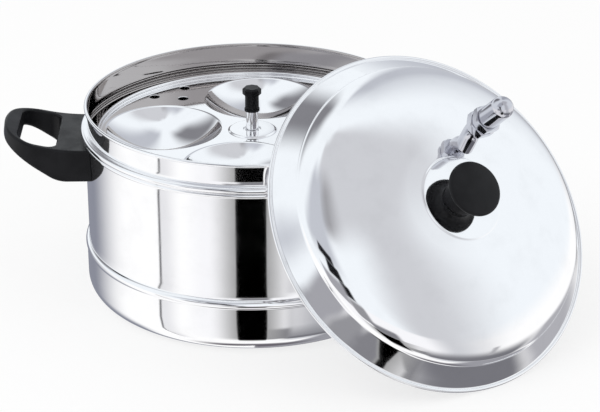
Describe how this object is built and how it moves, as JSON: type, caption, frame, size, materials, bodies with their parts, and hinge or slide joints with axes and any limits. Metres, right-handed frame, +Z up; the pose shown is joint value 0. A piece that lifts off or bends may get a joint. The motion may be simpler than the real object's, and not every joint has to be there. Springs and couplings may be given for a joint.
{
  "type": "idli steamer",
  "caption": "Two-handled steel steaming pot with a lift-out stand of cupped plates, and a domed lid with knob and whistle leaning beside it.",
  "frame": {"origin": "middle of the pot's base, on the floor", "axes": "+Z up along the pot's axis, X through the two handles, the lid leaning at +X and -Y"},
  "size_m": [0.3769, 0.295, 0.1736],
  "materials": {
    "steel": "mirror polished",
    "bakelite": "smooth moulded"
  },
  "bodies": {
    "pot": {"pot_shell": "steel", "handle_left": "bakelite", "handle_right": "bakelite", "handle_bracket_left": "steel", "handle_bracket_right": "steel", "handle_screw_left": "steel", "handle_screw_right": "steel"},
    "lid": {"lid_shell": "steel", "lid_knob": "bakelite", "knob_washer": "steel", "knob_screw": "steel", "vent_pipe": "steel", "vent_collar": "steel", "whistle_body": "steel"},
    "whistle": {"whistle_cap": "steel", "whistle_pin": "steel"},
    "stand": {"stand_base": "steel", "stand_rod": "steel", "spacer_1": "steel"},
    "plate_1": {"idli_plate_1": "steel"},
    "lift_2": {"spacer_2": "steel"},
    "plate_2": {"idli_plate_2": "steel"},
    "lift_3": {"spacer_3": "steel"},
    "plate_3": {"idli_plate_3": "steel"},
    "lift_4": {"spacer_4": "steel"},
    "plate_4": {"idli_plate_4": "steel"},
    "stem": {"stem_knob": "bakelite", "stem_stud": "steel"}
  },
  "joints": [
    {"name": "stand_lift", "type": "slide", "parent": "pot", "child": "stand", "axis": [0, 0, 1], "range_m": [0, 0.15]},
    {"name": "lid_lift", "type": "slide", "parent": "pot", "child": "lid", "axis": [0.412, -0.6296, 0.6587], "range_m": [0, 0.24]},
    {"name": "whistle_lift", "type": "slide", "parent": "lid", "child": "whistle", "axis": [0.412, -0.6296, 0.6587], "range_m": [0, 0.004]},
    {"name": "plate_1_turn", "type": "hinge", "parent": "stand", "child": "plate_1", "pos_m": [0, 0, 0], "axis": [0, 0, 1], "continuous": true},
    {"name": "plate_2_lift", "type": "slide", "parent": "plate_1", "child": "lift_2", "axis": [0, 0, 1], "range_m": [0, 0.008]},
    {"name": "plate_2_turn", "type": "hinge", "parent": "lift_2", "child": "plate_2", "pos_m": [0, 0, 0], "axis": [0, 0, 1], "continuous": true},
    {"name": "plate_3_lift", "type": "slide", "parent": "plate_2", "child": "lift_3", "axis": [0, 0, 1], "range_m": [0, 0.008]},
    {"name": "plate_3_turn", "type": "hinge", "parent": "lift_3", "child": "plate_3", "pos_m": [0, 0, 0], "axis": [0, 0, 1], "continuous": true},
    {"name": "plate_4_lift", "type": "slide", "parent": "plate_3", "child": "lift_4", "axis": [0, 0, 1], "range_m": [0, 0.008]},
    {"name": "plate_4_turn", "type": "hinge", "parent": "lift_4", "child": "plate_4", "pos_m": [0, 0, 0], "axis": [0, 0, 1], "continuous": true},
    {"name": "stem_knob_pull", "type": "slide", "parent": "stand", "child": "stem", "axis": [0, 0, 1], "range_m": [0, 0.06]}
  ],
  "couplings": [
    {"joint": "lid_lift", "follows": "stand_lift", "ratio": 1.6}
  ]
}
